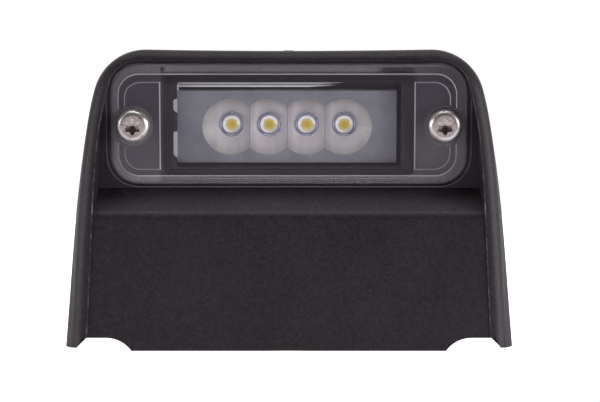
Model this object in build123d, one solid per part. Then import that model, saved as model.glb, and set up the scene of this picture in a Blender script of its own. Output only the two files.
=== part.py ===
from build123d import *
import math
import os

os.makedirs("parts", exist_ok=True)

# ---------------------------------------------------------------- driving sizes, mm
DEPTH = 49.0              # front plane to back of hood at the base
TOP = 70.85                # height of the hood's top edge above the base
TOP_DIP = 0.33            # the top edge sags this much at its middle
TOP_R = 12.5              # front-view radius of the hood's top corners
FRONT_R = 3.2             # round between front plane and side walls
REAR_R = 9.0              # round between back and side walls
REAR_PLAN_R = 82.0        # plan radius of the back at the base
REAR_TOP_Y = 37.0         # where the back meets the top
REAR_BULGE = 2.4          # how much the back bows out of a straight slope
WALL = 2.5                # hood wall
RIM_STEP = 0.4            # the panel lies this far behind the rim
BEND_Z = 32.0             # panel ends and shelf begins
SHELF_Z = 38.3            # shelf ends and recess floor begins
RIM_TOP = 67.9            # top of the recess
RIM_R = 7.1               # its top corners
RECESS_DRAFT = 1.15       # the recess is this much narrower at its floor, each side

TILT = 10.0               # recess floor and lens lean towards the base, degrees
FLOOR_Y, FLOOR_Z = 6.4, 53.43  # lens axis on the seat in the recess floor
SEAT_X, SEAT_LOW, SEAT_HIGH, SEAT_R, SEAT_W = 86.1, -14.8, 17.0, 7.4, 0.8   # sunk seat round the lens

LENS_X, LENS_V, LENS_R = 84.2, 28.57, 6.6     # lens flange
LENS_UP = 0.215                               # it sits this much above the lens axis
LENS_GAP = 0.05                               # the seal keeps its back this far off the recess floor
LEVEL_DX = -0.33                              # the raised levels sit this much to the left
STEP_X, STEP_V, STEP_R, STEP_UP = 80.0, 24.5, 5.0, 0.15      # first raised level
PAD_X, PAD_V, PAD_R, PAD_IN = 77.0, 21.0, 3.9, 29.9   # second raised level, two pads
LENS_W1, LENS_W2, LENS_W3 = 2.2, 3.0, 3.5     # their heights above the seat
POCKET_X, POCKET_V, POCKET_W = 59.8, 25.8, 1.2
SCREW_X = 36.8            # lens screws
SCREW_SEAT_W = 1.8
SCREW_HEAD_R, SCREW_HEAD_H = 3.9, 2.9
SCREW_R, SCREW_TIP_W = 2.0, -11.0
COUNTERBORE_R = 4.6

TUB_IN_X, TUB_IN_V = 53.0, 20.2
TUB_OUT_X, TUB_OUT_V = 56.8, 22.8
TUB_FLANGE_X, TUB_FLANGE_V, TUB_FLANGE_W = 59.4, 25.4, 0.7
TUB_FLOOR_W, TUB_BACK_W = -14.0, -15.5
OPENING_X, OPENING_V = 57.2, 23.2

PLATE_X, PLATE_V, PLATE_DX = 52.0, 19.8, -0.45
FACE_LOW, FACE_HIGH = -9.45, 7.75             # the plate's raised face, up the lens
PLATE_TOP_W, BOARD_TOP_W, BOARD_BOT_W = -2.2, -5.2, -6.8
LED_PITCH = 8.95
LED_V, DISH_V = -0.62, -0.9                   # LED row and dish rims, up the lens
LED_DX, DISH_DX = -0.25, -0.4
DISH_R, DISH_FOOT_R = 6.75, 3.25
DOME_R = 3.1
CUP_R, PHOSPHOR_R = 1.58, 1.2

GROMMET_W = -10.5
CABLE_R = 2.4

BOSS_X, BOSS_Y = 32.5, 25.0    # base screws
BOSS_R, BOSS_H = 4.2, 16.0
INSERT_R, INSERT_L, INSERT_BORE_R = 2.8, 10.0, 1.65

# ---------------------------------------------------------------- shared frames
ca, sa = math.cos(math.radians(TILT)), math.sin(math.radians(TILT))
# local x = X, local y = up the recess floor, local z = out of the floor
LENS = Plane(origin=(0, FLOOR_Y, FLOOR_Z), x_dir=(1, 0, 0), z_dir=(0, -ca, -sa))


def at(w):
    return LENS.offset(w)


def slab(x, v, r, w0, w1):
    return extrude(at(w0) * RectangleRounded(x, v, r), amount=w1 - w0)


def disc(x, v, r, w0, w1):
    return extrude(at(w0) * Pos(x, v) * Circle(r), amount=w1 - w0)


def brick(x, v, dx, dv, w0, w1):
    return extrude(at(w0) * Pos(x, v) * Rectangle(dx, dv), amount=w1 - w0)


def save(name, shape):
    solids = [s.moved(SHIFT) for s in shape.solids()]
    export_step(solids[0] if len(solids) == 1 else Compound(children=solids), f"parts/{name}.step")


# ---------------------------------------------------------------- hood
FOOT_Z = -8.0                   # the outlines run down to here before the base is cut flat
SECTIONS = (
    # depth, half width and lean of the foot, lower handle, lean where the corner begins,
    # upper handle, corner centre, top
    (0.0, 51.0, -0.04, 30.0, 16.0, 11.0, 33.55, TOP),
    (23.0, 55.0, -0.09, 36.0, 17.0, 23.0, 33.70, TOP),
    (54.0, 54.0, -0.10, 48.0, 21.0, 21.0, 31.50, TOP - 1.8),
)


def arch(foot, foot_lean, low, lean, high, centre, r, dip):
    # front-view outline: a curved side, then a corner arc, then a top that sags by dip
    def left(q):
        return (-q[0], q[1])

    lean = math.radians(lean)
    over = 2 * math.atan(dip / centre[0])
    turn = (centre[0] + r * math.cos(lean), centre[1] + r * math.sin(lean))
    peak = (centre[0] - r * math.sin(over), centre[1] + r * math.cos(over))
    half = (lean + math.pi / 2 + over) / 2
    mid = (centre[0] + r * math.cos(half), centre[1] + r * math.sin(half))
    n = math.hypot(foot_lean, 1.0)
    side = (
        foot,
        (foot[0] + low * foot_lean / n, foot[1] + low / n),
        (turn[0] + high * math.sin(lean), turn[1] - high * math.cos(lean)),
        turn,
    )
    if dip:
        top = ThreePointArc(peak, (0, peak[1] - peak[0] * math.tan(over / 2)), left(peak))
    else:
        top = Line(peak, left(peak))
    return make_face([
        Line(left(foot), foot),
        Bezier(*side),
        ThreePointArc(turn, mid, peak),
        top,
        ThreePointArc(left(peak), left(mid), left(turn)),
        Bezier(*[left(q) for q in reversed(side)]),
    ])


def outline(y, half, foot_lean, low, lean, high, centre_x, top, inset=0.0):
    # the hood's outline at depth y
    return Plane.XZ.offset(-y) * arch(
        (half - inset * 1.01, FOOT_Z), foot_lean, low, lean, high,
        (centre_x, top - TOP_R), TOP_R - inset, TOP_DIP)


def shell_body(inset):
    body = loft([outline(*s, inset=inset) for s in SECTIONS])
    # the back is a round slope: its side-view profile turned about an upright axis
    axis_y = DEPTH - REAR_PLAN_R
    foot = (DEPTH - inset, 0.0)
    head = (REAR_TOP_Y - inset, TOP)
    slope = (head[0] - foot[0]) / (head[1] - foot[1])
    low = (foot[0] - 10 * slope - 0.8, -10.0)
    high = (head[0] + 9 * slope - 0.9, TOP + 9.0)
    mid = ((foot[0] + head[0]) / 2 + REAR_BULGE, TOP / 2)
    profile = make_face([
        ThreePointArc(low, mid, high),
        Line(high, (axis_y, high[1])),
        Line((axis_y, high[1]), (axis_y, low[1])),
        Line((axis_y, low[1]), low),
    ])
    # side-view sketch: local x = Y, local y = Z
    side = Plane(origin=(0, 0, 0), x_dir=(0, 1, 0), z_dir=(1, 0, 0)) * profile
    back = revolve(side, axis=Axis((0, axis_y, 0), (0, 0, 1)))
    return body & back


def rear_edges(body):
    # the line where the round back meets sides and top
    found = []
    for e in body.edges():
        m = e.position_at(0.5)
        b = e.bounding_box()
        if m.Y > 12 and b.max.Z > 1 and b.min.Y > 12 and b.max.Y - b.min.Y < 16:
            found.append(e)
    return found


SIDE = Plane(origin=(0, 0, 0), x_dir=(0, 1, 0), z_dir=(1, 0, 0))
base_cut = Pos(0, 30, -20) * Box(200, 200, 40)

outer = shell_body(0.0)
outer = fillet(rear_edges(outer), radius=REAR_R)
front_edges = [e for e in outer.edges() if e.bounding_box().max.Y < 0.01 and e.bounding_box().max.Z > 0]
outer = fillet(front_edges, radius=FRONT_R)
outer = outer - base_cut

# recess outline on the front plane, carried down past the base; its sides close in with depth
def rim_outline(y):
    return Plane.XZ.offset(-y) * arch(
        (47.90 - RECESS_DRAFT * y / 9.0, FOOT_Z), -0.055, 48.0, 13.5, 18.0,
        (35.50, RIM_TOP - RIM_R), RIM_R, 0.0)


rim_prism = loft([rim_outline(-2.0), rim_outline(12.0)], ruled=True)


def floor_y(z, w=0.0):
    # depth of the plane at height w over the recess floor
    return FLOOR_Y - w * ca - (z - FLOOR_Z + w * sa) * sa / ca


shelf_end = (floor_y(SHELF_Z, SEAT_W), SHELF_Z)
bend = (RIM_STEP, BEND_Z)
cut_face = make_face(Polyline(
    (-8, -8), (RIM_STEP, -8), bend, shelf_end, (floor_y(80, SEAT_W), 80), (-8, 80), close=True))
cut_face = fillet([v for v in cut_face.vertices() if abs(v.X - bend[0]) < 0.01 and abs(v.Y - bend[1]) < 0.01], radius=3.0)
recess = rim_prism & extrude(SIDE * cut_face, amount=70, both=True)
seat = extrude(at(0) * Pos(0, (SEAT_LOW + SEAT_HIGH) / 2) * RectangleRounded(SEAT_X, SEAT_HIGH - SEAT_LOW, SEAT_R), amount=12)
seat = seat & rim_prism

# hollow: behind panel, shelf and floor
dy, dz = shelf_end[0] - bend[0], shelf_end[1] - bend[1]
ln = math.hypot(dy, dz)
sy, sz = bend[0] + WALL * dz / ln, bend[1] - WALL * dy / ln
k = dz / dy
panel_back = RIM_STEP + WALL
knee1 = (panel_back, sz + (panel_back - sy) * k)
# shelf back z = sz + k (y - sy) meets floor back y = floor_y(z, -WALL)
c0 = floor_y(0, -WALL)
c1 = -sa / ca
kz = (sz + k * (c0 - sy)) / (1 - k * c1)
knee2 = (c0 + c1 * kz, kz)
hollow_face = make_face(Polyline(
    (panel_back, -8), knee1, knee2, (floor_y(80, -WALL), 80), (70, 80), (70, -8), close=True))
inner = shell_body(WALL)
inner = fillet(rear_edges(inner), radius=REAR_R - 0.5)
inner = inner & extrude(SIDE * hollow_face, amount=70, both=True)

hood = outer - recess - seat - inner

# bosses and ribs, trimmed to the hood's own outside
bosses = None
for s in (-1, 1):
    piece = disc(s * SCREW_X, 0, 4.0, -13.0, -1.0)
    piece += Pos(s * BOSS_X, BOSS_Y, BOSS_H / 2) * Cylinder(BOSS_R, BOSS_H)
    piece += Pos(s * (BOSS_X + 12), BOSS_Y, 8.0) * Box(24, 2.2, 14.0)
    piece += Pos(s * BOSS_X, BOSS_Y + 9, 8.0) * Box(2.2, 18, 14.0)
    piece += Pos(s * BOSS_X, BOSS_Y - 11.5, 8.0) * Box(2.2, 23, 14.0)
    bosses = piece if bosses is None else bosses + piece
trim = shell_body(1.0) - base_cut
trim = trim - (Pos(0, -30 + panel_back - 1.0, 0) * Box(200, 60, 200) & Pos(0, 0, 15) * Box(200, 200, 30))
hood = hood + (bosses & trim)
for s in (-1, 1):
    hood = hood - disc(s * SCREW_X, 0, SCREW_R + 0.05, -12.0, 1.0)
    hood = hood - Pos(s * BOSS_X, BOSS_Y, INSERT_L / 2) * Cylinder(INSERT_R, INSERT_L)
    hood = hood - Pos(s * BOSS_X, BOSS_Y, 7.0) * Cylinder(2.1, 14.0)
hood = hood - slab(OPENING_X, OPENING_V, 3.4, -5, 1)

# channels across the bottom edge, which show as notches at the front corners
notch = make_face([
    Line((36.6, -1.0), (36.9, 0.0)),
    ThreePointArc((36.9, 0.0), (39.3, 2.12), (42.8, 3.05)),
    Line((42.8, 3.05), (48.0, 3.05)),
    ThreePointArc((48.0, 3.05), (48.78, 2.72), (49.1, 1.95)),
    Line((49.1, 1.95), (49.4, -1.0)),
    Line((49.4, -1.0), (36.6, -1.0)),
])
notch_bar = extrude(Plane.XZ.offset(3) * notch, amount=-70)
# their outer sides open out with depth, as the hood's own sides do
for length, points in (
    (75, ((43.2, -1.0), (43.2, 3.05), (47.5, 3.05), (49.0, 0.6), (49.4, -1.0))),
    (30, ((43.2, -1.0), (43.2, 3.05), (47.5, 3.05), (49.35, 1.5), (49.6, 0.7), (49.75, -1.0))),
):
    flare_bar = extrude(Plane.XZ.offset(3) * make_face(Polyline(*points, close=True)), amount=-length)
    notch_bar = notch_bar + Pos(47, 0, 0) * Rot(0, 0, -5) * Pos(-47, 0, 0) * flare_bar
hood = hood - notch_bar - mirror(notch_bar, about=Plane.YZ)
# a web inside each front corner, its foot cut off at a slant over the channel
web = make_face(Polyline((46.6, 4.1), (49.65, 1.1), (50.5, 0.27), (53.0, 0.27), (53.0, 12.0), (46.6, 12.0), close=True))
web_bar = extrude(Plane.XZ.offset(-5.0) * web, amount=-2.5) & trim
hood = hood + web_bar + mirror(web_bar, about=Plane.YZ)
# the sides' bottom edges lift a little towards the front
lift = make_face(Polyline((-3, -1), (-3, 0.85), (24, 0), (24, -1), close=True))
lift_bar = extrude(SIDE.offset(48.9) * lift, amount=12)
hood = hood - lift_bar - mirror(lift_bar, about=Plane.YZ)
# sprue bevel under the panel and moulding nub on the top edge
edge_ball = 30.0
q = (edge_ball - 0.45) / math.sqrt(2)
hood = hood - Pos(0, RIM_STEP - q, -q) * Sphere(edge_ball)
hood = hood + Pos(0, 7.5, TOP - TOP_DIP - 0.15) * Box(2.2, 7.0, 0.75)

# from the front-plane frame used so far to the part's own: origin under the middle of its box
box = hood.bounding_box()
SHIFT = Location((0, -(box.min.Y + box.max.Y) / 2, -box.min.Z))
save("hood_housing", hood)

# ---------------------------------------------------------------- lens
OUT = Axis((0, 0, 0), (0, -ca, -sa))
bores = [disc(s * SCREW_X, 0, COUNTERBORE_R, SCREW_SEAT_W, 9) for s in (-1, 1)]
lens = extrude(at(LENS_GAP) * Pos(0, LENS_UP) * RectangleRounded(LENS_X, LENS_V, LENS_R), amount=LENS_W1 - LENS_GAP)
lens = fillet(lens.faces().sort_by(OUT)[-1].edges(), radius=0.9)
step = extrude(at(LENS_W1 - 0.5) * Pos(LEVEL_DX, STEP_UP) * RectangleRounded(STEP_X, STEP_V, STEP_R), amount=LENS_W2 - LENS_W1 + 0.5)
step = fillet(step.faces().sort_by(OUT)[-1].edges(), radius=0.4)
pads = extrude(at(LENS_W2 - 0.5) * Pos(LEVEL_DX, 0) * RectangleRounded(PAD_X, PAD_V, PAD_R), amount=LENS_W3 - LENS_W2 + 0.5)
pads = pads - brick(LEVEL_DX, 0, 2 * PAD_IN, 60, 0, 9)
pads = pads - bores[0] - bores[1]
tops = [f for f in pads.faces() if LENS.to_local_coords(f.center()).Z > LENS_W3 - 0.01]
pads = fillet([e for f in tops for e in f.edges()], radius=0.42)
lens = lens + step
lens = lens - slab(POCKET_X, POCKET_V, 2.7, -1, POCKET_W)
for s, bore in zip((-1, 1), bores):
    lens = lens - bore - disc(s * SCREW_X, 0, 2.25, -1, 9)
lens = lens + pads
save("lens_cover", lens)

# ---------------------------------------------------------------- lens screws
def lobe_recess(w0, w1, outer_r, inner_r):
    n, pts = 72, []
    for i in range(n):
        t = 2 * math.pi * i / n
        r = (outer_r + inner_r) / 2 + (outer_r - inner_r) / 2 * math.cos(6 * t)
        pts.append((r * math.sin(t), r * math.cos(t)))
    return extrude(Plane.XY.offset(w0) * make_face(Spline(*pts, periodic=True)), amount=w1 - w0)


head_top = SCREW_SEAT_W + SCREW_HEAD_H
SHOULDER_R = 1.3
profile = make_face([
    Line((0, SCREW_TIP_W), (SCREW_R - 0.6, SCREW_TIP_W)),
    Line((SCREW_R - 0.6, SCREW_TIP_W), (SCREW_R, SCREW_TIP_W + 1.0)),
    Line((SCREW_R, SCREW_TIP_W + 1.0), (SCREW_R, SCREW_SEAT_W)),
    Line((SCREW_R, SCREW_SEAT_W), (SCREW_HEAD_R, SCREW_SEAT_W)),
    Line((SCREW_HEAD_R, SCREW_SEAT_W), (SCREW_HEAD_R, head_top - SHOULDER_R)),
    ThreePointArc(
        (SCREW_HEAD_R, head_top - SHOULDER_R),
        (SCREW_HEAD_R - SHOULDER_R * (1 - math.sqrt(0.5)), head_top - SHOULDER_R * (1 - math.sqrt(0.5))),
        (SCREW_HEAD_R - SHOULDER_R, head_top)),
    Line((SCREW_HEAD_R - SHOULDER_R, head_top), (0, head_top)),
    Line((0, head_top), (0, SCREW_TIP_W)),
])
screw = revolve(Plane.XZ * profile, axis=Axis.Z)
screw = screw - lobe_recess(head_top - 1.2, head_top + 1, 2.03, 1.42)
# the recess ends in a shallow cone
tip = Pos(0, 0, head_top - 1.2 - 0.4) * Cone(0.05, 2.2, 0.8)
screw = screw - (tip & lobe_recess(head_top - 3, head_top - 1.1, 2.03, 1.42))
screws = [LENS.location * Pos(s * SCREW_X, 0, 0) * screw for s in (-1, 1)]
save("lens_screws", Compound(children=[x.solids()[0] for x in screws]))

# ---------------------------------------------------------------- sealed light unit
tub = slab(TUB_FLANGE_X, TUB_FLANGE_V, 2.5, 0, TUB_FLANGE_W)
tub = tub + slab(TUB_OUT_X, TUB_OUT_V, 3.2, TUB_BACK_W, 0)
tub = tub - slab(TUB_IN_X, TUB_IN_V, 0.8, TUB_FLOOR_W, 2)
ledge = slab(TUB_IN_X + 1, TUB_IN_V + 1, 0.8, TUB_FLOOR_W - 0.5, BOARD_BOT_W) - brick(0, 0, TUB_IN_X - 4.0, 60, TUB_FLOOR_W - 1, 0)
tub = tub + (ledge & slab(TUB_OUT_X - 1, TUB_OUT_V - 1, 2.5, TUB_BACK_W + 0.5, 0))
TABS = ((4.25, 3.4), (-5.0, 6.5))      # centre and height of the plate's clip tabs
for v, h in TABS:
    tub = tub - brick(-TUB_IN_X / 2, v, 2.6, h + 0.3, -5.1, 2)
GROM = Plane(origin=LENS.from_local_coords(Vector(0, -TUB_IN_V / 2, GROMMET_W)), x_dir=(1, 0, 0), z_dir=(0, sa, -ca))
wall_v = (TUB_OUT_V - TUB_IN_V) / 2


def ring(r0, r1, d0, d1):
    # along the cable's way out; d = 0 at the tub wall's inside
    p = GROM.offset(d0)
    return extrude(p * Circle(r1), amount=d1 - d0) - extrude(p.offset(-1) * Circle(r0), amount=d1 - d0 + 2)


tub = tub - extrude(GROM.offset(-0.6) * Circle(3.0), amount=4)
save("module_tub", tub)

grommet = ring(CABLE_R, 3.0, -0.9, wall_v + 6.0) + ring(CABLE_R, 3.4, -0.9, 0) + ring(CABLE_R, 4.6, wall_v, wall_v + 1.6)
for d in (2.6, 4.2):
    grommet = grommet + ring(CABLE_R, 3.5, wall_v + d, wall_v + d + 0.8)
save("cable_grommet", grommet)

seal = slab(59.0, 25.0, 2.3, TUB_FLANGE_W, POCKET_W) - slab(54.6, 21.4, 1.2, 0, 3)
save("lens_seal", seal)

LED_X = [LED_DX + (i - 1.5) * LED_PITCH for i in range(4)]
DISH_SHIFT = DISH_DX - LED_DX
LIP_W = -4.4
plate = brick(PLATE_DX, 0, PLATE_X, PLATE_V, BOARD_TOP_W, LIP_W)
plate = plate + brick(PLATE_DX, (FACE_LOW + FACE_HIGH) / 2, PLATE_X, FACE_HIGH - FACE_LOW, BOARD_TOP_W, PLATE_TOP_W)
# two ribs along the upper lip, tapering off to the right
x0 = PLATE_DX - PLATE_X / 2
for v0, v1, xa, xb, w in ((9.4, 9.9, 7.0, 14.0, -1.4), (8.7, 9.1, 5.0, 11.0, -1.8)):
    rib = make_face(Polyline((x0, v0), (xa, v0), (xb, v1), (x0, v1), close=True))
    plate = plate + extrude(at(LIP_W - 0.2) * rib, amount=w - LIP_W + 0.2)
plate = plate + brick(x0 + 0.15, 8.8, 0.3, 2.2, LIP_W - 0.2, -1.8)
blank = at(BOARD_BOT_W) * Pos(PLATE_DX, 0) * RectangleRounded(PLATE_X, PLATE_V, 0.9)
plate = plate & extrude(blank, amount=6)
for v, h in TABS:
    xa, xb = x0 - 1.1, x0 + 0.9
    tab = make_face(Polyline(
        (xb, v - h / 2), (x0 - 0.3, v - h / 2), (xa, v - h / 2 + 0.9), (xa, v + h / 2 - 0.9), (x0 - 0.5, v + h / 2), (xb, v + h / 2), close=True))
    plate = plate + extrude(at(-5.0) * tab, amount=3.1)
for x in LED_X:
    foot = at(BOARD_TOP_W) * Pos(x, LED_V) * Circle(DISH_FOOT_R)
    rim = at(PLATE_TOP_W) * Pos(x + DISH_SHIFT, DISH_V) * Circle(DISH_R)
    plate = plate - loft([foot, rim])
    plate = plate - disc(x + DISH_SHIFT, DISH_V, DISH_R, PLATE_TOP_W, PLATE_TOP_W + 2) - disc(x, LED_V, DISH_FOOT_R, BOARD_TOP_W - 1, BOARD_TOP_W + 0.3)
save("reflector_plate", plate)

board = extrude(blank, amount=BOARD_TOP_W - BOARD_BOT_W)
save("circuit_board", board)

pk = BOARD_TOP_W
packages = [brick(x, LED_V, 3.2, 3.2, pk, pk + 0.4).solids()[0] for x in LED_X]
save("led_packages", Compound(children=packages))
cups = [(disc(x, LED_V, CUP_R, pk + 0.4, pk + 0.8) - disc(x, LED_V, PHOSPHOR_R, pk + 0.4, pk + 2)).solids()[0] for x in LED_X]
save("led_cups", Compound(children=cups))
phosphors = [disc(x, LED_V, PHOSPHOR_R, pk + 0.4, pk + 0.7).solids()[0] for x in LED_X]
save("led_phosphors", Compound(children=phosphors))
domes = []
for x in LED_X:
    ball = LENS.location * Pos(x, LED_V, pk) * Sphere(DOME_R)
    ball = ball & disc(x, LED_V, 4, pk, pk + 4)
    ball = ball - disc(x, LED_V, 2.32, pk - 1, pk + 0.95)
    domes.append(ball.solids()[0])
save("led_domes", Compound(children=domes))

# parts on the back of the board
bb = BOARD_BOT_W
driver = brick(-9.0, 2.0, 4.9, 3.9, bb - 1.6, bb - 0.15)
for i in range(4):
    for s in (-1, 1):
        driver = driver + brick(-9.0 + (i - 1.5) * 1.27, 2.0 + s * 2.3, 0.42, 0.9, bb - 0.9, bb - 0.65)
        driver = driver + brick(-9.0 + (i - 1.5) * 1.27, 2.0 + s * 2.85, 0.42, 0.6, bb - 0.85, bb)
save("driver_ic", driver)


def lead_block(x, v, dx, dv, h):
    body = brick(x, v, dx, dv, bb - h, bb - 0.2)
    for s in (-1, 1):
        body = body + brick(x + s * dx / 2, v, 1.4, dv * 0.5, bb - 0.3, bb)
    return body


save("polarity_diode", lead_block(9.5, 4.6, 4.3, 2.6, 2.1))
save("surge_suppressor", lead_block(9.5, -1.6, 4.6, 3.6, 2.3))
resistors = [brick(x, v, 3.2, 1.6, bb - 0.6, bb).solids()[0] for x, v in ((-18.5, 4.0), (-18.5, 0.6), (-18.5, -2.8), (18.5, 4.0))]
save("resistors", Compound(children=resistors))
capacitors = [brick(x, v, 3.2, 1.6, bb - 1.6, bb).solids()[0] for x, v in ((-9.0, -3.4), (18.5, 0.2))]
save("capacitors", Compound(children=capacitors))
terminals = []
for x in (-2.2, 2.2):
    t = brick(x, -3.2, 1.8, 3.2, bb - 0.6, bb) + brick(x, -1.9, 1.8, 0.5, bb - 2.6, bb) + brick(x, -4.5, 1.8, 0.5, bb - 2.0, bb)
    terminals.append(t.solids()[0])
save("wire_terminals", Compound(children=terminals))

# ---------------------------------------------------------------- base inserts
inserts = []
for s in (-1, 1):
    p = Pos(s * BOSS_X, BOSS_Y, 0)
    body = p * Pos(0, 0, INSERT_L / 2) * Cylinder(INSERT_R, INSERT_L)
    for z in (2.6, 7.4):
        body = body - (p * Pos(0, 0, z) * (Cylinder(INSERT_R + 1, 0.9) - Cylinder(INSERT_R - 0.35, 2)))
    body = body - p * Pos(0, 0, INSERT_L / 2) * Cylinder(INSERT_BORE_R, INSERT_L + 2)
    inserts.append(body.solids()[0])
save("threaded_inserts", Compound(children=inserts))
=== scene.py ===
import math

import bpy
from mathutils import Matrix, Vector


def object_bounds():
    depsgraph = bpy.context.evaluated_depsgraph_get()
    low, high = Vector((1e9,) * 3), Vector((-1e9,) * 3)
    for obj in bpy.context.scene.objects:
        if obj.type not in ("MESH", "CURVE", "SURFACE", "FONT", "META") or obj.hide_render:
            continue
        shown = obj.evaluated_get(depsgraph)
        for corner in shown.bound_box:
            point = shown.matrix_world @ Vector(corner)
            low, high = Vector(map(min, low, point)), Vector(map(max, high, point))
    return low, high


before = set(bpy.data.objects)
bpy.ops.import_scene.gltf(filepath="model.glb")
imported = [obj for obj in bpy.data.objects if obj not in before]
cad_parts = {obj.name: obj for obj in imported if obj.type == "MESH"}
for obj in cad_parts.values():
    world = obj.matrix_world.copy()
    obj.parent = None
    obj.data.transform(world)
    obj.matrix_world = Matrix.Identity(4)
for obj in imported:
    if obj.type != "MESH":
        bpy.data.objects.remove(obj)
cad_box = [list(map(float, c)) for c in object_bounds()]

MM = 0.001
scene = bpy.context.scene
scene.view_settings.view_transform = "Standard"
scene.view_settings.look = "None"

# ------------------------------------------------------------------ the lens frame
# front-plane frame of the part: depth is counted from the front plane of the hood
FRONT_Y = cad_box[0][1]
TILT = math.radians(10.0)
CA, SA = math.cos(TILT), math.sin(TILT)
LENS_O = (0.0, FRONT_Y + 6.4 * MM, 53.43 * MM)
E_V = (0.0, -SA, CA)        # up the lens
E_W = (0.0, -CA, -SA)       # out of the lens
LED_DX, SEAM_DX, LED_PITCH, LED_V = -0.25 * MM, -0.35 * MM, 8.95 * MM, -0.62 * MM

# ------------------------------------------------------------------ camera
cam_data = bpy.data.cameras.new("photo_camera")
cam_data.sensor_width = 36.0
cam_data.lens = 2559.5 * 36.0 / 600.0
cam_data.clip_start = 0.01
cam_data.clip_end = 20.0
camera = bpy.data.objects.new("photo_camera", cam_data)
scene.collection.objects.link(camera)
camera.location = (2.64 * MM, FRONT_Y - 600.0 * MM, 35.2 * MM)
camera.rotation_euler = (math.pi / 2, 0, 0)
scene.camera = camera


# ------------------------------------------------------------------ node helpers
class Mat:
    def __init__(self, name):
        self.m = bpy.data.materials.new(name)
        self.m.use_nodes = True
        self.t = self.m.node_tree
        self.p = self.t.nodes["Principled BSDF"]
        self.out = self.t.nodes["Material Output"]
        self.co = self.t.nodes.new("ShaderNodeTexCoord").outputs["Object"]

    def new(self, kind, **props):
        n = self.t.nodes.new(kind)
        for k, v in props.items():
            setattr(n, k, v)
        return n

    def link(self, a, b):
        self.t.links.new(a, b)

    def set(self, **values):
        for k, v in values.items():
            s = self.p.inputs[k.replace("_", " ")]
            s.default_value = (*v, 1.0) if isinstance(v, tuple) else v

    def noise(self, scale, detail=4.0, rough=0.6, vec=None, distortion=0.0):
        n = self.new("ShaderNodeTexNoise")
        n.inputs["Scale"].default_value = scale
        n.inputs["Detail"].default_value = detail
        n.inputs["Roughness"].default_value = rough
        n.inputs["Distortion"].default_value = distortion
        self.link(vec or self.co, n.inputs["Vector"])
        return n.outputs["Fac"]

    def voronoi(self, scale, vec=None):
        n = self.new("ShaderNodeTexVoronoi")
        n.inputs["Scale"].default_value = scale
        self.link(vec or self.co, n.inputs["Vector"])
        return n

    def math(self, op, a, b=None, c=None, clamp=False):
        n = self.new("ShaderNodeMath", operation=op, use_clamp=clamp)
        for i, x in enumerate((a, b, c)):
            if x is None:
                continue
            if isinstance(x, (int, float)):
                n.inputs[i].default_value = x
            else:
                self.link(x, n.inputs[i])
        return n.outputs[0]

    def step(self, value, lo, hi):
        """0 below lo, 1 above hi, smooth between."""
        n = self.new("ShaderNodeMapRange", interpolation_type="SMOOTHSTEP")
        self.link(value, n.inputs["Value"])
        if lo <= hi:
            n.inputs["From Min"].default_value, n.inputs["From Max"].default_value = lo, hi
        else:
            n.inputs["From Min"].default_value, n.inputs["From Max"].default_value = hi, lo
            n.inputs["To Min"].default_value, n.inputs["To Max"].default_value = 1.0, 0.0
        return n.outputs[0]

    def remap(self, value, lo, hi, to_lo, to_hi):
        n = self.new("ShaderNodeMapRange")
        self.link(value, n.inputs["Value"])
        n.inputs["From Min"].default_value, n.inputs["From Max"].default_value = lo, hi
        n.inputs["To Min"].default_value, n.inputs["To Max"].default_value = to_lo, to_hi
        return n.outputs[0]

    def mix(self, fac, a, b):
        n = self.new("ShaderNodeMix", data_type="RGBA")
        ins = [i for i in n.inputs if i.type == "RGBA"]
        self.link(fac, n.inputs["Factor"])
        for x, s in ((a, ins[0]), (b, ins[1])):
            if isinstance(x, tuple):
                s.default_value = (*x, 1.0)
            else:
                self.link(x, s)
        return [o for o in n.outputs if o.type == "RGBA"][0]

    def dot(self, axis, vec=None):
        n = self.new("ShaderNodeVectorMath", operation="DOT_PRODUCT")
        self.link(vec or self.co, n.inputs[0])
        n.inputs[1].default_value = axis
        return n.outputs["Value"]

    def from_origin(self, origin):
        n = self.new("ShaderNodeVectorMath", operation="SUBTRACT")
        self.link(self.co, n.inputs[0])
        n.inputs[1].default_value = origin
        return n.outputs[0]

    def stretch(self, scale):
        n = self.new("ShaderNodeVectorMath", operation="MULTIPLY")
        self.link(self.co, n.inputs[0])
        n.inputs[1].default_value = scale
        return n.outputs[0]

    def bump(self, height, strength, distance, normal=None):
        n = self.new("ShaderNodeBump")
        n.inputs["Strength"].default_value = strength
        n.inputs["Distance"].default_value = distance
        self.link(height, n.inputs["Height"])
        if normal is not None:
            self.link(normal, n.inputs["Normal"])
        return n.outputs["Normal"]

    def shade(self, colour=None, rough=None, normal=None):
        if colour is not None:
            self.link(colour, self.p.inputs["Base Color"])
        if rough is not None:
            self.link(rough, self.p.inputs["Roughness"])
        if normal is not None:
            self.link(normal, self.p.inputs["Normal"])

    def clear_to_lamps(self, tint):
        """Lamps shine in through the clear plastic."""
        lp = self.new("ShaderNodeLightPath")
        tr = self.new("ShaderNodeBsdfTransparent")
        tr.inputs["Color"].default_value = (*tint, 1.0)
        mix = self.new("ShaderNodeMixShader")
        self.link(lp.outputs["Is Shadow Ray"], mix.inputs["Fac"])
        self.link(self.p.outputs["BSDF"], mix.inputs[1])
        self.link(tr.outputs["BSDF"], mix.inputs[2])
        self.link(mix.outputs[0], self.out.inputs["Surface"])


def moulded(name, dark, light, rough_lo, rough_hi, grain=2200.0, bump=0.15, dist=0.0001):
    """Plain moulded piece: uneven tone, fine grain, uneven gloss."""
    k = Mat(name)
    a = k.noise(grain, 4.0, 0.65)
    b = k.noise(grain * 0.12, 3.0, 0.5)
    tone = k.math("MULTIPLY_ADD", a, 0.5, k.math("MULTIPLY", b, 0.5))
    k.shade(k.mix(k.step(tone, 0.3, 0.7), dark, light), k.remap(a, 0.3, 0.7, rough_lo, rough_hi), k.bump(a, bump, dist))
    return k


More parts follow.
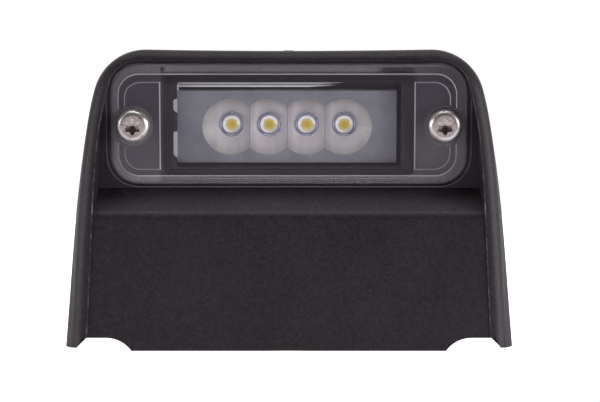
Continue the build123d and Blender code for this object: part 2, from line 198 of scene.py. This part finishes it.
# ------------------------------------------------------------------ hood: grained black plastic
def bezier(p, t):
    u = 1 - t
    return tuple(u ** 3 * p[0][i] + 3 * u * u * t * p[1][i] + 3 * u * t * t * p[2][i] + t ** 3 * p[3][i] for i in (0, 1))


def rim_points():
    """(height, half width) along the edge of the recess, mm."""
    lean = math.radians(13.5)
    cx, cz, r = 35.5, 60.8, 7.1
    turn = (cx + r * math.cos(lean), cz + r * math.sin(lean))
    n = math.hypot(0.055, 1.0)
    foot = (47.9, -8.0)
    ctrl = (foot, (foot[0] - 48 * 0.055 / n, foot[1] + 48 / n),
            (turn[0] + 18 * math.sin(lean), turn[1] - 18 * math.cos(lean)), turn)
    pts = []
    for i in range(17):
        x, z = bezier(ctrl, i / 16)
        pts.append((z, x))
    for i in range(1, 9):
        a = lean + (math.radians(84) - lean) * i / 8
        pts.append((cz + r * math.sin(a), cx + r * math.cos(a)))
    return pts


def hood_material():
    k = Mat("grained_black_plastic")
    sep = k.new("ShaderNodeSeparateXYZ")
    k.link(k.co, sep.inputs[0])
    x, y, z = sep.outputs
    fine = k.noise(3200.0, 3.0, 0.6)
    coarse = k.noise(1300.0, 4.0, 0.6)
    cloud = k.noise(60.0, 4.0, 0.55)
    tone = k.math("ADD", k.math("MULTIPLY", fine, 0.4), k.math("ADD", k.math("MULTIPLY", coarse, 0.42), k.math("MULTIPLY", cloud, 0.18)))
    colour = k.mix(k.step(tone, 0.41, 0.59), (0.0124, 0.0096, 0.0128), (0.0312, 0.0246, 0.0318))
    # a few pale specks of dust
    cells = k.voronoi(420.0)
    chance = k.new("ShaderNodeSeparateColor")
    k.link(cells.outputs["Color"], chance.inputs[0])
    speck = k.math("MULTIPLY", k.step(cells.outputs["Distance"], 0.12, 0.03), k.step(chance.outputs[0], 0.97, 0.985))
    colour = k.mix(k.math("MULTIPLY", speck, 0.5), colour, (0.12, 0.11, 0.12))
    # painted highlight along the edge where the rim meets the recess, patchy and fuller near the shelf's height
    curve = k.new("ShaderNodeFloatCurve")
    cm = curve.mapping
    pts = [(zz / 71.0, hw / 50.0) for zz, hw in rim_points() if zz >= 0]
    pts.insert(0, (0.0, 47.46 / 50.0))
    c0 = cm.curves[0]
    c0.points[0].location = pts[0]
    c0.points[1].location = pts[-1]
    for q in pts[1:-1]:
        c0.points.new(*q)
    cm.update()
    k.link(k.math("DIVIDE", z, 71.0 * MM), curve.inputs["Value"])
    off = k.math("SUBTRACT", k.math("DIVIDE", k.math("ABSOLUTE", x), 50.0 * MM), curve.outputs[0])
    line = k.step(k.math("ABSOLUTE", off), 0.0062, 0.0030)
    front = k.step(y, FRONT_Y + 0.38 * MM, FRONT_Y + 0.30 * MM)
    rim_breakup = k.step(k.noise(620.0, 4.0, 0.75), 0.44, 0.60)
    corner = k.step(k.math("ABSOLUTE", k.math("SUBTRACT", z, 33.4 * MM)), 2.2 * MM, 0.6 * MM)
    amount = k.math("MAXIMUM", k.math("MULTIPLY_ADD", rim_breakup, 0.50, 0.06), corner)
    rim_highlight = k.math("MULTIPLY", k.math("MULTIPLY", line, front), amount)
    colour = k.mix(rim_highlight, colour, (0.20, 0.185, 0.19))
    # painted highlight along the edge of the sunk seat round the lens
    rel = k.from_origin(LENS_O)
    v, w = k.dot(E_V, rel), k.dot(E_W, rel)
    qx = k.math("SUBTRACT", k.math("ABSOLUTE", x), (43.05 - 7.4) * MM)
    qv = k.math("SUBTRACT", k.math("ABSOLUTE", k.math("SUBTRACT", v, 1.1 * MM)), (15.9 - 7.4) * MM)
    ox, ov = k.math("MAXIMUM", qx, 0.0), k.math("MAXIMUM", qv, 0.0)
    far = k.math("SQRT", k.math("ADD", k.math("MULTIPLY", ox, ox), k.math("MULTIPLY", ov, ov)))
    inside = k.math("MINIMUM", k.math("MAXIMUM", qx, qv), 0.0)
    gap = k.math("SUBTRACT", k.math("ADD", far, inside), 7.4 * MM)
    seat_highlight = k.math("MULTIPLY", k.step(k.math("ABSOLUTE", gap), 0.30 * MM, 0.10 * MM), k.step(w, 0.55 * MM, 0.75 * MM))
    seat_highlight = k.math("MULTIPLY", seat_highlight, k.step(w, 1.4 * MM, 1.0 * MM))
    colour = k.mix(k.math("MULTIPLY", seat_highlight, 0.8), colour, (0.19, 0.18, 0.195))
    ax = k.math("ABSOLUTE", x)
    # painted shade: near-black in the hollow corners behind the notches at the foot
    inner = k.math("MULTIPLY", k.math("MULTIPLY", k.step(ax, 45.5 * MM, 46.0 * MM), k.step(ax, 50.7 * MM, 50.5 * MM)),
                   k.math("MULTIPLY", k.step(y, FRONT_Y + 4.5 * MM, FRONT_Y + 4.8 * MM), k.step(z, 7.0 * MM, 5.0 * MM)))
    inner = k.math("MULTIPLY", inner, k.step(y, FRONT_Y + 8.6 * MM, FRONT_Y + 8.0 * MM))
    side = k.math("MULTIPLY", k.math("MULTIPLY", k.step(ax, 47.8 * MM, 48.0 * MM), k.step(ax, 49.65 * MM, 49.55 * MM)),
                  k.math("MULTIPLY", k.step(y, FRONT_Y + 0.70 * MM, FRONT_Y + 0.85 * MM), k.step(z, 3.6 * MM, 3.3 * MM)))
    colour = k.mix(k.math("MAXIMUM", inner, side), colour, (0.002, 0.002, 0.002))
    rough = k.remap(fine, 0.3, 0.7, 0.45, 0.57)
    # duller low on the sides
    low_side = k.math("MULTIPLY", k.step(ax, 50.3 * MM, 51.5 * MM), k.step(z, 34.0 * MM, 10.0 * MM))
    rough = k.math("MULTIPLY_ADD", low_side, 0.21, rough)
    height = k.math("ADD", k.math("MULTIPLY", fine, 0.7), k.math("MULTIPLY", coarse, 0.5))
    # smooth where the lens lies on it
    under = k.math("MULTIPLY", k.step(w, 0.16 * MM, 0.08 * MM), k.step(w, -0.16 * MM, -0.08 * MM))
    height = k.math("MULTIPLY", height, k.math("MULTIPLY_ADD", under, -0.92, 1.0))
    k.shade(colour, rough, k.bump(height, 0.4, 0.0001))
    k.set(Specular_IOR_Level=0.45, Specular_Tint=(1.0, 0.92, 0.98))
    return k.m


# ------------------------------------------------------------------ lens: clear, slightly smoky moulding
def lens_material():
    k = Mat("clear_lens_plastic")
    geo = k.new("ShaderNodeNewGeometry")
    facing = k.math("ABSOLUTE", k.dot(E_W, geo.outputs["Normal"]))
    w = k.dot(E_W, k.from_origin(LENS_O))
    rel = k.from_origin(LENS_O)
    x, v = k.dot((1, 0, 0), rel), k.dot(E_V, rel)
    # painted highlight: the rounded edges are made frosted white to stand in for the bright lines they reflect, more on
    # the raised levels
    edge = k.step(facing, 0.985, 0.90)
    share = k.math("MULTIPLY_ADD", k.step(w, 2.3 * MM, 2.5 * MM), 0.58, 0.26)
    sides = k.math("ABSOLUTE", k.dot((1, 0, 0), geo.outputs["Normal"]))
    share = k.math("MULTIPLY_ADD", k.math("MULTIPLY", k.step(w, 2.3 * MM, 2.5 * MM), sides), 0.16, share)
    share = k.math("MULTIPLY_ADD", k.step(w, 3.02 * MM, 3.08 * MM), -0.46, share)
    # less of this painted edge highlight round the screws
    px = k.math("SUBTRACT", k.math("ABSOLUTE", x), 36.8 * MM)
    ring = k.math("SQRT", k.math("ADD", k.math("MULTIPLY", px, px), k.math("MULTIPLY", v, v)))
    share = k.math("MULTIPLY", share, k.math("MULTIPLY_ADD", k.step(ring, 5.0 * MM, 5.2 * MM), 0.8, 0.2))
    film = k.noise(60.0, 3.0, 0.6)
    edge_glint = k.math("MULTIPLY", k.math("MULTIPLY", edge, share), k.remap(film, 0.3, 0.7, 0.85, 1.1))
    # painted sheen: a thin white haze stands in for reflected light on both ends, most on their lower halves, and on
    # the flange
    flat = k.step(w, 1.5 * MM, 1.9 * MM)
    flange = k.step(w, 2.30 * MM, 2.22 * MM)
    ends = k.step(k.math("ABSOLUTE", k.math("ADD", x, 0.33 * MM)), 29.8 * MM, 30.0 * MM)
    lower = k.math("MULTIPLY_ADD", k.step(v, 4.0 * MM, -3.0 * MM), 0.055, 0.010)
    along = k.math("MULTIPLY", k.step(x, -29.6 * MM, -29.0 * MM), k.step(x, 23.0 * MM, 20.0 * MM))
    upper = k.math("MULTIPLY", k.math("MULTIPLY", k.step(v, 12.3 * MM, 12.9 * MM), along), 0.16)
    below = k.math("MULTIPLY", k.step(v, -11.6 * MM, -12.2 * MM), 0.085)
    lower = k.math("MULTIPLY_ADD", flange, k.math("MULTIPLY_ADD", k.step(x, -20.0 * MM, -30.0 * MM), 0.085, 0.05), lower)
    painted_sheen = k.math("MAXIMUM", k.math("MULTIPLY", ends, lower), k.math("MULTIPLY", flange, k.math("MAXIMUM", upper, below)))
    gap = k.math("MULTIPLY", k.step(k.math("ABSOLUTE", x), 26.4 * MM, 26.9 * MM), k.step(v, 11.0 * MM, 9.0 * MM))
    painted_sheen = k.math("MAXIMUM", painted_sheen, k.math("MULTIPLY", gap, 0.016))
    painted_sheen = k.math("MULTIPLY", k.math("MULTIPLY", painted_sheen, flat), k.remap(film, 0.3, 0.7, 0.85, 1.15))
    # the back is matt where it lies over the hood
    back = k.step(w, 0.20 * MM, 0.10 * MM)
    matt = k.math("MAXIMUM", k.math("MAXIMUM", edge_glint, painted_sheen), k.math("MULTIPLY", back, 0.03))
    clear = k.mix(film, (0.955, 0.945, 0.975), (0.975, 0.965, 0.99))
    k.shade(k.mix(edge, k.mix(back, clear, (0.86, 0.83, 0.95)), (0.84, 0.82, 0.87)),
            k.math("MULTIPLY_ADD", edge, 0.25, 0.004), k.bump(film, 0.0015, 0.0004))
    k.link(k.math("SUBTRACT", 1.0, matt), k.p.inputs["Transmission Weight"])
    k.set(IOR=1.45, Specular_Tint=(0.96, 0.87, 1.0))
    k.clear_to_lamps((0.97, 0.965, 0.98))
    return k.m


def dome_material():
    k = Mat("clear_silicone")
    k.set(Transmission_Weight=1.0, IOR=1.42)
    film = k.noise(400.0, 2.0, 0.5)
    k.shade(k.mix(film, (0.93, 0.945, 0.985), (0.97, 0.975, 1.0)), k.remap(film, 0.3, 0.7, 0.0, 0.04))
    k.clear_to_lamps((0.97, 0.975, 0.995))
    return k.m


# ------------------------------------------------------------------ screws
def steel_material():
    k = Mat("passivated_steel")
    grain = k.noise(2400.0, 5.0, 0.7)
    stain = k.noise(420.0, 3.0, 0.6)
    colour = k.mix(k.step(stain, 0.35, 0.68), (0.75, 0.69, 0.665), (0.92, 0.86, 0.835))
    spots = k.noise(1100.0, 4.0, 0.7)
    colour = k.mix(k.math("MULTIPLY", k.step(spots, 0.53, 0.66), 0.5), colour, (0.22, 0.17, 0.14))
    # painted shade in the drive, brown and darker on its lower half
    rel = k.from_origin(LENS_O)
    dx = k.math("SUBTRACT", k.math("ABSOLUTE", k.dot((1, 0, 0), rel)), 36.8 * MM)
    dv, w = k.dot(E_V, rel), k.dot(E_W, rel)
    rad = k.math("SQRT", k.math("ADD", k.math("MULTIPLY", dx, dx), k.math("MULTIPLY", dv, dv)))
    drive_shade = k.math("MULTIPLY", k.step(w, 4.55 * MM, 4.35 * MM), k.step(rad, 2.25 * MM, 2.12 * MM))
    drive_shade = k.math("MULTIPLY", drive_shade, k.math("MULTIPLY_ADD", k.step(dv, 0.8 * MM, -0.8 * MM), 0.42, 0.25))
    colour = k.mix(drive_shade, colour, (0.23, 0.165, 0.125))
    k.set(Metallic=1.0)
    # the shoulder of the head is duller than its face
    dull = k.math("MULTIPLY", k.step(rad, 2.7 * MM, 3.2 * MM), 0.17)
    k.shade(colour, k.math("ADD", k.remap(grain, 0.3, 0.7, 0.17, 0.31), dull), k.bump(grain, 0.16, 0.00005))
    return k.m


# ------------------------------------------------------------------ reflector
def plate_material():
    k = Mat("pale_reflector_plastic")
    rel = k.from_origin(LENS_O)
    x, v, w = k.dot((1, 0, 0), rel), k.dot(E_V, rel), k.dot(E_W, rel)
    xr = k.math("DIVIDE", k.math("SUBTRACT", x, SEAM_DX), LED_PITCH)
    cell = k.math("ADD", k.math("ROUND", k.math("SUBTRACT", xr, 0.5)), 0.5)
    cell = k.math("MINIMUM", k.math("MAXIMUM", cell, -1.5), 1.5)
    dx = k.math("MULTIPLY", k.math("SUBTRACT", xr, cell), LED_PITCH)
    dv = k.math("SUBTRACT", v, LED_V)
    angle = k.math("ARCTAN2", dx, dv)
    rad = k.math("SQRT", k.math("ADD", k.math("MULTIPLY", dx, dx), k.math("MULTIPLY", dv, dv)))
    polar = k.new("ShaderNodeCombineXYZ")
    k.link(k.math("MULTIPLY", angle, 6.0), polar.inputs[0])
    k.link(k.math("MULTIPLY", rad, 120.0), polar.inputs[1])
    k.link(k.math("MULTIPLY", cell, 7.0), polar.inputs[2])
    streak = k.noise(2.2, 3.0, 0.55, vec=polar.outputs[0])
    cloud = k.noise(130.0, 3.0, 0.6)
    fine = k.noise(1800.0, 3.0, 0.6)
    face = k.mix(k.step(cloud, 0.3, 0.7), (0.245, 0.252, 0.28), (0.32, 0.327, 0.355))
    dish = k.mix(k.step(streak, 0.2, 0.8), (0.72, 0.685, 0.68), (0.82, 0.785, 0.775))
    # painted shade: the dishes darker towards their rims, their tops and both sides
    shade = k.math("MULTIPLY_ADD", k.step(rad, 4.6 * MM, 7.0 * MM), -0.26, 0.955)
    shade = k.math("MULTIPLY", shade, k.math("MULTIPLY_ADD", k.step(dv, 3.6 * MM, 6.2 * MM), -0.24, 1.0))
    shade = k.math("MULTIPLY", shade, k.math("MULTIPLY_ADD", k.step(dx, -2.6 * MM, -4.0 * MM), -0.25, 1.0))
    shade = k.math("MULTIPLY", shade, k.math("MULTIPLY_ADD", k.step(dx, 2.6 * MM, 4.0 * MM), -0.11, 1.0))
    dish = k.mix(shade, (0.0, 0.0, 0.0), dish)
    in_dish = k.step(w, -2.24 * MM, -2.30 * MM)
    seam = k.math("SUBTRACT", LED_PITCH / 2, k.math("ABSOLUTE", dx))
    seam = k.step(k.math("ABSOLUTE", seam), 0.16 * MM, 0.04 * MM)
    seam = k.math("MULTIPLY", seam, k.step(k.math("ABSOLUTE", xr), 1.4, 1.3))
    dish = k.mix(k.math("MULTIPLY", seam, 0.75), dish, (0.20, 0.195, 0.21))
    colour = k.mix(in_dish, face, dish)
    # painted shade: near-black on the deeper shelf beside the rib
    lip = k.math("MULTIPLY", k.step(v, 7.78 * MM, 7.86 * MM), k.step(w, -3.2 * MM, -3.3 * MM))
    colour = k.mix(lip, colour, (0.012, 0.012, 0.014))
    rib = k.math("MULTIPLY", k.step(v, 7.9 * MM, 8.0 * MM), k.step(w, -3.0 * MM, -2.9 * MM))
    colour = k.mix(rib, colour, (0.90, 0.92, 0.93))
    tab = k.step(x, -26.42 * MM, -26.52 * MM)
    colour = k.mix(tab, colour, (0.88, 0.87, 0.90))
    k.shade(colour, k.remap(fine, 0.3, 0.7, 0.34, 0.5), k.bump(fine, 0.05, 0.00005))
    return k.m


def from_led(k):
    """Offsets from the nearest diode's middle, along and up the lens."""
    rel = k.from_origin(LENS_O)
    x, v = k.dot((1, 0, 0), rel), k.dot(E_V, rel)
    xr = k.math("DIVIDE", k.math("SUBTRACT", x, LED_DX), LED_PITCH)
    dx = k.math("MULTIPLY", k.math("SUBTRACT", k.math("SUBTRACT", xr, 0.5), k.math("ROUND", k.math("SUBTRACT", xr, 0.5))), LED_PITCH)
    return dx, k.math("SUBTRACT", v, LED_V)


def phosphor_material():
    k = Mat("phosphor")
    dx, dv = from_led(k)
    rad = k.math("SQRT", k.math("ADD", k.math("MULTIPLY", dx, dx), k.math("MULTIPLY", dv, dv)))
    fine = k.noise(5200.0, 3.0, 0.6)
    colour = k.mix(k.step(rad, 0.15 * MM, 0.8 * MM), (0.82, 0.50, 0.02), (0.86, 0.66, 0.03))
    colour = k.mix(k.math("MULTIPLY", k.step(fine, 0.4, 0.7), 0.3), colour, (0.96, 0.78, 0.12))
    # thinner, so paler, towards its edge
    colour = k.mix(k.math("MULTIPLY", k.step(rad, 0.50 * MM, 1.16 * MM), 0.85), colour, (0.92, 0.83, 0.46))
    k.shade(colour, k.remap(fine, 0.3, 0.7, 0.5, 0.7), k.bump(fine, 0.1, 0.00003))
    return k.m


def cup_material():
    k = Mat("led_white_cup")
    dx, dv = from_led(k)
    fine = k.noise(4000.0, 3.0, 0.6)
    colour = k.mix(k.step(fine, 0.3, 0.7), (0.94, 0.91, 0.87), (0.98, 0.955, 0.915))
    # painted shade: greyer on the lower right
    grey = k.step(k.math("SUBTRACT", dx, dv), 0.5 * MM, 1.9 * MM)
    colour = k.mix(k.math("MULTIPLY", grey, 0.78), colour, (0.34, 0.33, 0.33))
    k.shade(colour, k.remap(fine, 0.3, 0.7, 0.35, 0.5), k.bump(fine, 0.1, 0.00003))
    # painted glow: a faint emission lifts the cup, though the diode is not lit
    k.set(Emission_Color=(1.0, 0.94, 0.88), Emission_Strength=0.24)
    return k.m


def board_material():
    k = Mat("solder_mask")
    sep = k.new("ShaderNodeSeparateXYZ")
    k.link(k.co, sep.inputs[0])
    tracks = k.noise(140.0, 0.0, 0.5, vec=k.stretch((1.0, 0.2, 1.0)))
    fine = k.noise(2600.0, 3.0, 0.6)
    colour = k.mix(k.step(tracks, 0.47, 0.5), (0.012, 0.045, 0.022), (0.022, 0.085, 0.040))
    w = k.dot(E_W, k.from_origin(LENS_O))
    colour = k.mix(k.step(w, -5.4 * MM, -5.3 * MM), colour, (0.80, 0.82, 0.90))
    k.shade(colour, k.remap(fine, 0.3, 0.7, 0.24, 0.36), k.bump(fine, 0.05, 0.00004))
    return k.m


def metal_material(name, low, high, rough_lo, rough_hi, grain=1800.0, stretch=(1.0, 1.0, 1.0)):
    k = Mat(name)
    v = k.stretch(stretch)
    g = k.noise(grain, 4.0, 0.65, vec=v)
    k.set(Metallic=1.0)
    k.shade(k.mix(k.step(g, 0.3, 0.7), low, high), k.remap(g, 0.3, 0.7, rough_lo, rough_hi), k.bump(g, 0.12, 0.00006))
    return k.m


mats = {
    "hood_housing": hood_material(),
    "lens_cover": lens_material(),
    "lens_screws": steel_material(),
    "module_tub": moulded("black_tub_plastic", (0.010, 0.0095, 0.0115), (0.016, 0.015, 0.018), 0.34, 0.46).m,
    "lens_seal": moulded("black_seal_rubber", (0.010, 0.010, 0.011), (0.018, 0.018, 0.019), 0.6, 0.75, 1500.0).m,
    "cable_grommet": moulded("black_grommet_rubber", (0.016, 0.016, 0.017), (0.028, 0.028, 0.030), 0.58, 0.74, 1300.0, 0.25).m,
    "reflector_plate": plate_material(),
    "circuit_board": board_material(),
    "led_packages": moulded("led_base_ceramic", (0.28, 0.29, 0.34), (0.34, 0.35, 0.40), 0.3, 0.45, 4000.0).m,
    "led_cups": cup_material(),
    "led_phosphors": phosphor_material(),
    "led_domes": dome_material(),
    "driver_ic": moulded("chip_compound", (0.012, 0.012, 0.013), (0.024, 0.024, 0.025), 0.5, 0.66, 3200.0, 0.2).m,
    "polarity_diode": moulded("diode_compound", (0.012, 0.012, 0.013), (0.022, 0.022, 0.023), 0.48, 0.62, 3200.0, 0.2).m,
    "surge_suppressor": moulded("suppressor_compound", (0.014, 0.014, 0.015), (0.024, 0.024, 0.025), 0.48, 0.62, 3200.0, 0.2).m,
    "resistors": moulded("resistor_glaze", (0.014, 0.014, 0.015), (0.026, 0.026, 0.028), 0.28, 0.4, 3200.0, 0.1).m,
    "capacitors": moulded("capacitor_ceramic", (0.26, 0.17, 0.09), (0.36, 0.25, 0.14), 0.4, 0.55, 2600.0, 0.1).m,
    "wire_terminals": metal_material("tinned_brass", (0.62, 0.61, 0.58), (0.76, 0.75, 0.72), 0.24, 0.38),
    "threaded_inserts": metal_material("turned_brass", (0.52, 0.36, 0.13), (0.72, 0.53, 0.24), 0.2, 0.36, 900.0, (1.0, 1.0, 6.0)),
}
for name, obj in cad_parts.items():
    obj.data.materials.clear()
    obj.data.materials.append(mats[name])

# ------------------------------------------------------------------ stage and light
def floor_material():
    """White sheet lit from under: the camera sees it white, the lamp sees it in the studio's light."""
    k = Mat("pale_floor")
    n = k.noise(3.0, 2.0, 0.5)
    k.shade(k.mix(n, (0.765, 0.735, 0.765), (0.785, 0.755, 0.785)))
    k.set(Roughness=0.9, Emission_Color=(1.0, 1.0, 1.0))
    ray = k.new("ShaderNodeLightPath")
    k.link(k.math("MULTIPLY_ADD", ray.outputs["Is Camera Ray"], 1.21, 0.28), k.p.inputs["Emission Strength"])
    return k.m


mesh = bpy.data.meshes.new("floor")
mesh.from_pydata([(-4, -0.135, 0), (4, -0.135, 0), (4, 6, 0), (-4, 6, 0)], [], [(0, 1, 2, 3)])
floor = bpy.data.objects.new("floor", mesh)
scene.collection.objects.link(floor)
floor.data.materials.append(floor_material())


def soft_box(name, place, aim, size, radiance, colour=(1.0, 1.0, 1.0)):
    d = bpy.data.lights.new(name, "AREA")
    d.shape = "RECTANGLE"
    d.size, d.size_y = size
    d.energy = radiance * math.pi * size[0] * size[1]
    d.color = colour
    o = bpy.data.objects.new(name, d)
    o.location = place
    dx, dy, dz = (aim[i] - place[i] for i in range(3))
    o.rotation_euler = (math.atan2(math.hypot(dx, dy), -dz), 0, math.atan2(dy, dx) - math.pi / 2)
    o.visible_camera = False
    scene.collection.objects.link(o)
    return o


AIM = (0.0, 0.0, 0.04)
soft_box("left_box", (-1.1, -0.45, 0.14), AIM, (0.9, 0.28), 5.7)
soft_box("right_box", (1.1, -0.45, 0.14), AIM, (0.9, 0.28), 9.0)
soft_box("top_box", (0.0, -0.22, 1.2), AIM, (1.2, 0.2), 6.6)

world = bpy.data.worlds.new("studio")
scene.world = world
world.use_nodes = True
wt = world.node_tree
bg = wt.nodes["Background"]
# dim room above the table and below its edge
where = wt.nodes.new("ShaderNodeTexCoord")
parts = wt.nodes.new("ShaderNodeSeparateXYZ")
wt.links.new(where.outputs["Generated"], parts.inputs[0])
up = wt.nodes.new("ShaderNodeMath")
up.operation = "MULTIPLY_ADD"
up.inputs[1].default_value, up.inputs[2].default_value = 0.5, 0.5
wt.links.new(parts.outputs[2], up.inputs[0])
tint = wt.nodes.new("ShaderNodeValToRGB")
wt.links.new(up.outputs[0], tint.inputs["Fac"])
stops = ((0.310, (0.54, 0.47, 0.54)), (0.354, (0.26, 0.22, 0.24)), (0.44, (0.24, 0.20, 0.22)), (0.51, (0.05, 0.048, 0.05)))
ramp = tint.color_ramp
ramp.elements[0].position, ramp.elements[1].position = stops[0][0], stops[-1][0]
ramp.elements[0].color, ramp.elements[1].color = (*stops[0][1], 1.0), (*stops[-1][1], 1.0)
for at, colour in stops[1:-1]:
    ramp.elements.new(at).color = (*colour, 1.0)
# white backdrop behind the lamp
behind = wt.nodes.new("ShaderNodeMapRange")
behind.interpolation_type = "SMOOTHSTEP"
behind.inputs["From Min"].default_value, behind.inputs["From Max"].default_value = 0.0, 0.8
wt.links.new(parts.outputs[1], behind.inputs["Value"])
back = wt.nodes.new("ShaderNodeMix")
back.data_type = "RGBA"
back_in = [i for i in back.inputs if i.type == "RGBA"]
glow = wt.nodes.new("ShaderNodeMapRange")
glow.inputs["From Min"].default_value, glow.inputs["From Max"].default_value = 0.03, 0.28
glow.inputs["To Min"].default_value, glow.inputs["To Max"].default_value = 0.5, 1.3
wt.links.new(parts.outputs[2], glow.inputs["Value"])
wt.links.new(glow.outputs[0], back_in[1])
wt.links.new(behind.outputs[0], back.inputs["Factor"])
wt.links.new(tint.outputs["Color"], back_in[0])
wt.links.new([o for o in back.outputs if o.type == "RGBA"][0], bg.inputs["Color"])
bg.inputs["Strength"].default_value = 1.0
seen = wt.nodes.new("ShaderNodeBackground")
seen.inputs["Color"].default_value = (1, 1, 1, 1)
seen.inputs["Strength"].default_value = 1.05
ray = wt.nodes.new("ShaderNodeLightPath")
pick = wt.nodes.new("ShaderNodeMixShader")
wt.links.new(ray.outputs["Is Camera Ray"], pick.inputs["Fac"])
wt.links.new(bg.outputs[0], pick.inputs[1])
wt.links.new(seen.outputs[0], pick.inputs[2])
wt.links.new(pick.outputs[0], wt.nodes["World Output"].inputs["Surface"])
